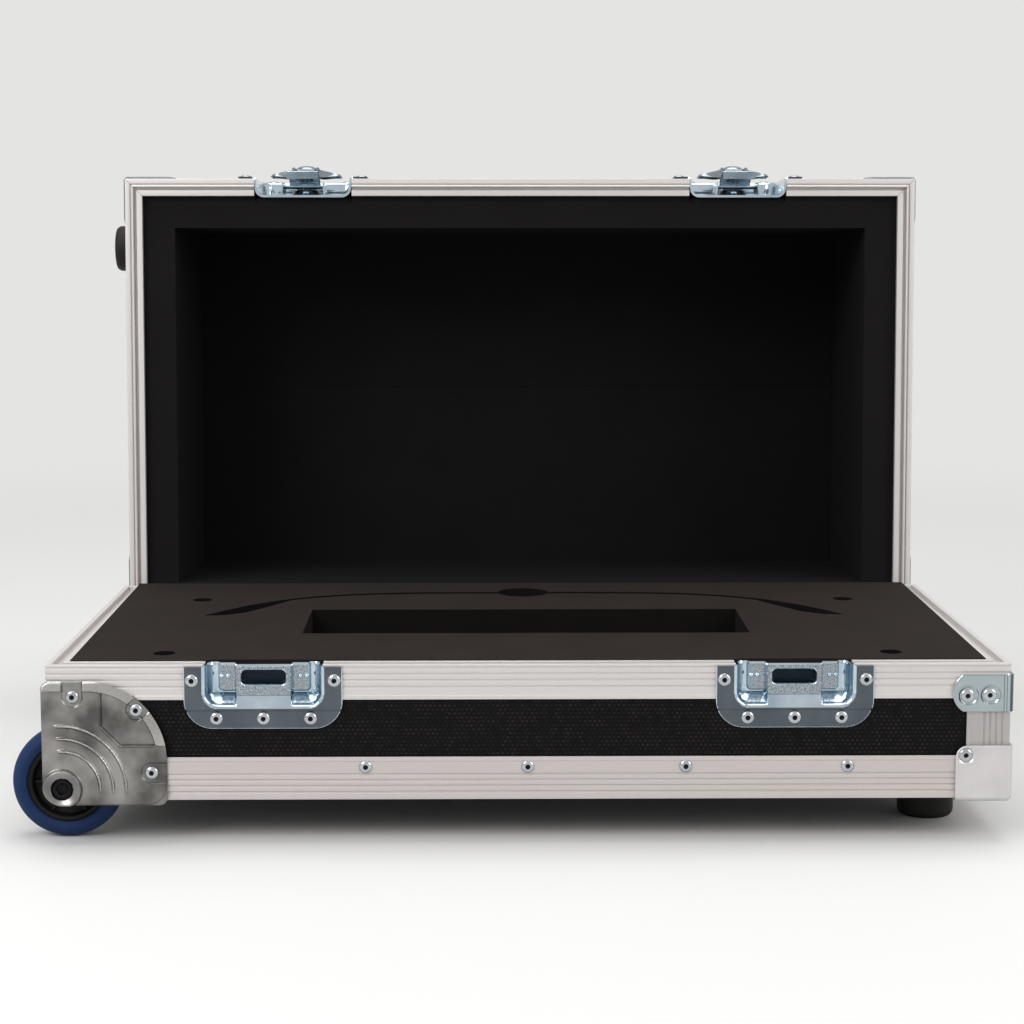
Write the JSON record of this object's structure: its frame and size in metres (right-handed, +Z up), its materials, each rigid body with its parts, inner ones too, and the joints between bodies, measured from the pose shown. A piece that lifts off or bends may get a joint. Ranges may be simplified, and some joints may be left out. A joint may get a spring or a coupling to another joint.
{
  "type": "road case",
  "caption": "Wheeled road case with a foam-lined base and hinged lid, aluminium edging, recessed turn latches and corner castors, standing open.",
  "frame": {"origin": "on the floor, below the middle of the outline of the open case", "axes": "+X along the case's long side, from the castors to the feet; +Y from the front with the latches to the back; +Z up"},
  "size_m": [0.7092, 0.6174, 0.4875],
  "materials": {
    "laminate_plywood": "black laminate with a fine hexagon print on thin plywood",
    "aluminium_extrusion": "satin anodised, reeded",
    "cast_zinc": "bright zinc, slightly worn",
    "black_steel": "black oxide",
    "blue_tyre": "dark blue rubber, satin",
    "black_plastic": "moulded, matte",
    "zinc_plated_corner": "zinc plated, slightly blue",
    "satin_steel_corner": "satin",
    "black_rubber": "matte",
    "grey_foam": "fine closed-cell foam, matte",
    "black_foam": "fine open-cell foam, matte",
    "zinc_plated_latch": "zinc plated, polished"
  },
  "bodies": {
    "base": {"base_corner_brace_front": "zinc_plated_corner", "base_corner_brace_rear": "zinc_plated_corner", "base_corner_cap_front": "satin_steel_corner", "base_corner_cap_rear": "satin_steel_corner", "base_edge_extrusion": "aluminium_extrusion", "base_edge_left": "aluminium_extrusion", "base_floor_panel": "laminate_plywood", "base_foam_block": "grey_foam", "base_foot_front": "black_rubber", "base_foot_rear": "black_rubber", "base_front_panel": "laminate_plywood", "base_left_panel": "laminate_plywood", "base_rear_panel": "laminate_plywood", "base_right_panel": "laminate_plywood", "base_rim_extrusion": "aluminium_extrusion", "base_rim_front_middle": "aluminium_extrusion", "castor_housing_front": "cast_zinc", "castor_housing_rear": "cast_zinc", "hinge_base_left": "zinc_plated_latch", "hinge_base_right": "zinc_plated_latch", "latch_keeper_left": "zinc_plated_latch", "latch_keeper_right": "zinc_plated_latch", "wheel_axle_front": "black_steel", "wheel_axle_rear": "black_steel"},
    "lid": {"hinge_leaf_left": "zinc_plated_latch", "hinge_leaf_right": "zinc_plated_latch", "latch_dish_left": "zinc_plated_latch", "latch_dish_right": "zinc_plated_latch", "lid_corner_brace_front_left": "zinc_plated_corner", "lid_corner_brace_front_right": "zinc_plated_corner", "lid_corner_brace_rear_left": "zinc_plated_corner", "lid_corner_brace_rear_right": "zinc_plated_corner", "lid_corner_cap_front_left": "satin_steel_corner", "lid_corner_cap_front_right": "satin_steel_corner", "lid_corner_cap_rear_left": "satin_steel_corner", "lid_corner_cap_rear_right": "satin_steel_corner", "lid_edge_extrusion": "aluminium_extrusion", "lid_foam_lining": "black_foam", "lid_foam_sheet_front": "black_foam", "lid_foam_sheet_rear": "black_foam", "lid_front_panel": "laminate_plywood", "lid_left_panel": "laminate_plywood", "lid_rear_panel": "laminate_plywood", "lid_right_panel": "laminate_plywood", "lid_rim_extrusion": "aluminium_extrusion", "lid_rim_front_middle": "aluminium_extrusion", "lid_side_foot": "black_rubber", "lid_top_panel": "laminate_plywood"},
    "wheel_front": {"wheel_tyre_front": "blue_tyre", "wheel_hub_front": "black_plastic"},
    "wheel_rear": {"wheel_tyre_rear": "blue_tyre", "wheel_hub_rear": "black_plastic"},
    "latch_left_cam": {"latch_cam_left": "zinc_plated_latch"},
    "latch_left_hook": {"latch_hook_left": "zinc_plated_latch"},
    "latch_left_wing_a": {"latch_wing_left_a": "zinc_plated_latch"},
    "latch_left_wing_b": {"latch_wing_left_b": "zinc_plated_latch"},
    "latch_right_cam": {"latch_cam_right": "zinc_plated_latch"},
    "latch_right_hook": {"latch_hook_right": "zinc_plated_latch"},
    "latch_right_wing_a": {"latch_wing_right_a": "zinc_plated_latch"},
    "latch_right_wing_b": {"latch_wing_right_b": "zinc_plated_latch"}
  },
  "joints": [
    {"name": "lid_hinge", "type": "hinge", "parent": "base", "child": "lid", "pos_m": [0.01345, 0.06959, 0.1075], "axis": [1, 0, 0], "range_deg": [0, 92.5]},
    {"name": "wheel_front_spin", "type": "hinge", "parent": "base", "child": "wheel_front", "pos_m": [-0.31455, -0.26961, 0.04], "axis": [0, 1, 0], "continuous": true},
    {"name": "wheel_rear_spin", "type": "hinge", "parent": "base", "child": "wheel_rear", "pos_m": [-0.31455, 0.03739, 0.04], "axis": [0, 1, 0], "continuous": true},
    {"name": "latch_left_turn", "type": "hinge", "parent": "lid", "child": "latch_left_cam", "pos_m": [-0.17305, 0.15267, 0.47192], "axis": [0, 0.0436, 0.999], "range_deg": [0, 180]},
    {"name": "latch_left_hook_swing", "type": "hinge", "parent": "lid", "child": "latch_left_hook", "pos_m": [-0.17305, 0.13444, 0.46721], "axis": [1, 0, 0], "range_deg": [0, 16]},
    {"name": "latch_left_wing_a_fold", "type": "hinge", "parent": "latch_left_cam", "child": "latch_left_wing_a", "pos_m": [-0.18335, 0.1531, 0.48191], "axis": [0, 0.999, -0.0436], "range_deg": [0, 95]},
    {"name": "latch_left_wing_b_fold", "type": "hinge", "parent": "latch_left_cam", "child": "latch_left_wing_b", "pos_m": [-0.16275, 0.1531, 0.48191], "axis": [0, -0.999, 0.0436], "range_deg": [0, 95]},
    {"name": "latch_right_turn", "type": "hinge", "parent": "lid", "child": "latch_right_cam", "pos_m": [0.19995, 0.15267, 0.47192], "axis": [0, 0.0436, 0.999], "range_deg": [0, 180]},
    {"name": "latch_right_hook_swing", "type": "hinge", "parent": "lid", "child": "latch_right_hook", "pos_m": [0.19995, 0.13444, 0.46721], "axis": [1, 0, 0], "range_deg": [0, 16]},
    {"name": "latch_right_wing_a_fold", "type": "hinge", "parent": "latch_right_cam", "child": "latch_right_wing_a", "pos_m": [0.18965, 0.1531, 0.48191], "axis": [0, 0.999, -0.0436], "range_deg": [0, 95]},
    {"name": "latch_right_wing_b_fold", "type": "hinge", "parent": "latch_right_cam", "child": "latch_right_wing_b", "pos_m": [0.21025, 0.1531, 0.48191], "axis": [0, -0.999, 0.0436], "range_deg": [0, 95]}
  ],
  "couplings": [
    {"joint": "latch_left_hook_swing", "follows": "latch_left_turn", "ratio": 0.088889},
    {"joint": "latch_right_hook_swing", "follows": "latch_right_turn", "ratio": 0.088889}
  ]
}
